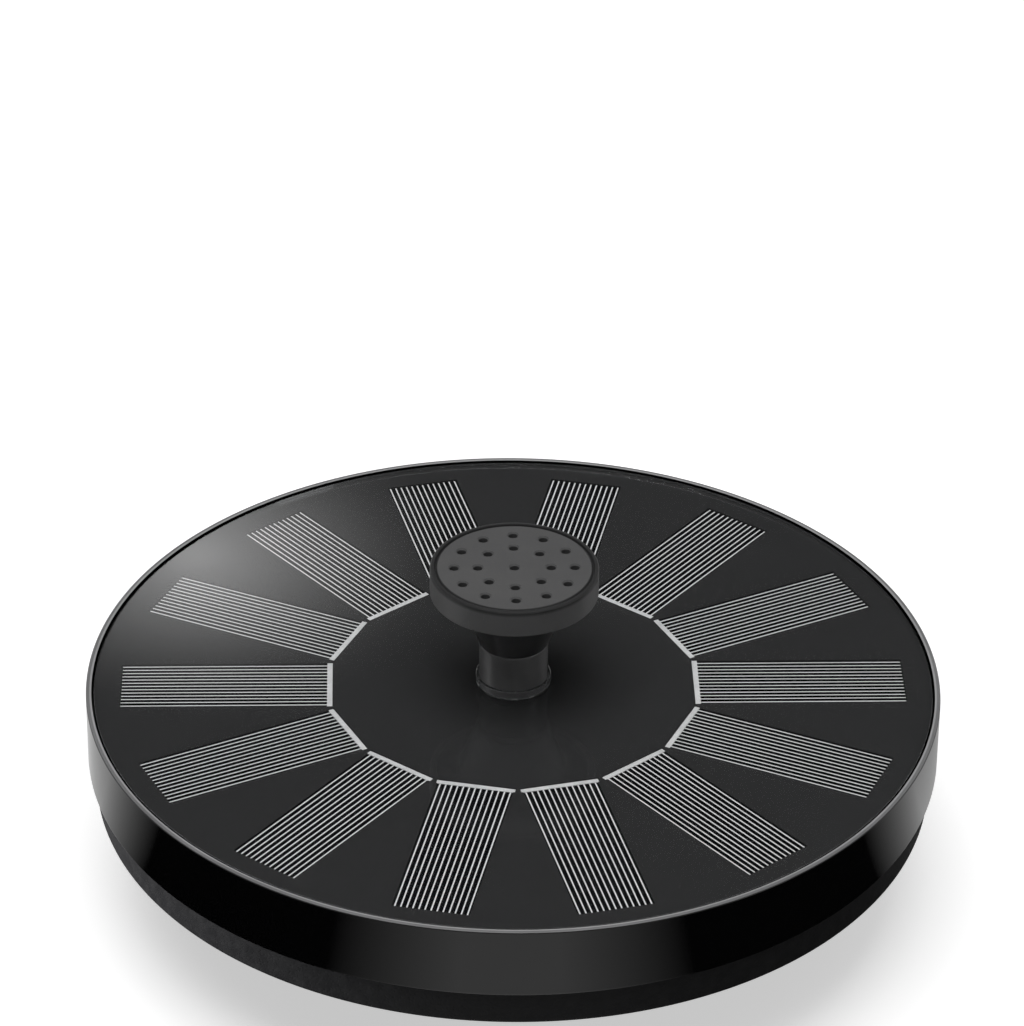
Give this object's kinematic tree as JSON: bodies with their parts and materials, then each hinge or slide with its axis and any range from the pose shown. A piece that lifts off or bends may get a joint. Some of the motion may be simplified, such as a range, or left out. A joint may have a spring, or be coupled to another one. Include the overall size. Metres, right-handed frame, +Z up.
{
  "type": "solar fountain pump",
  "caption": "Round floating solar fountain pump: radial solar cells under a clear front, foam float, slotted strainer below and a push-on spray nozzle on a riser.",
  "frame": {"origin": "on the pump's axis, at the bottom of the strainer's feet", "axes": "+Z up along the riser and the pump's shaft; +X towards the side of the water duct"},
  "size_m": [0.16, 0.16, 0.0679],
  "materials": {
    "shell_plastic": "gloss",
    "float_foam": "matte",
    "board_laminate": "satin",
    "mask_film": "satin",
    "clear_acrylic": "gloss",
    "silicon": "gloss",
    "tinned_copper": "satin",
    "clear_silicone": "gloss",
    "smoke_plastic": "gloss",
    "nozzle_plastic": "satin",
    "black_rubber": "matte",
    "pump_plastic": "satin",
    "magnet": "matte",
    "acetal": "satin",
    "ceramic": "polished",
    "core_steel": "satin",
    "copper_winding": "gloss",
    "epoxy": "gloss",
    "chip_resin": "matte",
    "capacitor_can": "satin",
    "red_insulation": "satin",
    "black_insulation": "satin",
    "stainless_steel": "satin"
  },
  "bodies": {
    "float_unit": {"upper_shell": "shell_plastic", "float_ring": "float_foam", "panel_board": "board_laminate", "mask_sheet": "mask_film", "clear_front": "clear_acrylic", "solar_cell_01": "silicon", "solar_cell_02": "silicon", "solar_cell_03": "silicon", "solar_cell_04": "silicon", "solar_cell_05": "silicon", "solar_cell_06": "silicon", "solar_cell_07": "silicon", "solar_cell_08": "silicon", "solar_cell_09": "silicon", "solar_cell_10": "silicon", "solar_cell_11": "silicon", "solar_cell_12": "silicon", "solar_cell_13": "silicon", "solar_cell_14": "silicon", "cell_ribbons": "tinned_copper", "riser_gasket": "clear_silicone", "spigot_o_ring": "black_rubber", "duct_o_ring": "black_rubber", "lower_cushion": "black_rubber", "upper_cushion": "black_rubber", "outlet_duct": "pump_plastic", "pump_housing": "pump_plastic", "volute_cover": "pump_plastic", "thrust_washers": "acetal", "pump_shaft": "ceramic", "stator_core": "core_steel", "stator_coil_1": "copper_winding", "stator_coil_2": "copper_winding", "stator_coil_3": "copper_winding", "stator_coil_4": "copper_winding", "stator_coil_5": "copper_winding", "stator_coil_6": "copper_winding", "potting_layer": "epoxy", "driver_board": "board_laminate", "driver_chip": "chip_resin", "smoothing_capacitor": "capacitor_can", "lead_positive": "red_insulation", "lead_negative": "black_insulation", "housing_screws": "stainless_steel", "cover_screws": "stainless_steel"},
    "riser": {"riser_tube": "smoke_plastic"},
    "nozzle_seal": {"nozzle_o_ring": "black_rubber"},
    "nozzle": {"nozzle_cup": "nozzle_plastic", "spray_cap": "nozzle_plastic"},
    "rotor": {"impeller": "pump_plastic", "rotor_magnet": "magnet", "rotor_bushes": "acetal"},
    "strainer": {"strainer_cap": "pump_plastic"}
  },
  "joints": [
    {"name": "impeller_spin", "type": "hinge", "parent": "float_unit", "child": "rotor", "pos_m": [0, 0, 0.0185], "axis": [0, 0, 1], "continuous": true},
    {"name": "riser_lift", "type": "slide", "parent": "float_unit", "child": "riser", "axis": [0, 0, 1], "range_m": [0, 0.015]},
    {"name": "nozzle_lift", "type": "slide", "parent": "riser", "child": "nozzle_seal", "axis": [0, 0, 1], "range_m": [0, 0.012]},
    {"name": "nozzle_turn", "type": "hinge", "parent": "nozzle_seal", "child": "nozzle", "pos_m": [0, 0, 0.05], "axis": [0, 0, 1], "continuous": true},
    {"name": "strainer_pull", "type": "slide", "parent": "float_unit", "child": "strainer", "axis": [0, 0, -1], "range_m": [0, 0.025]}
  ]
}
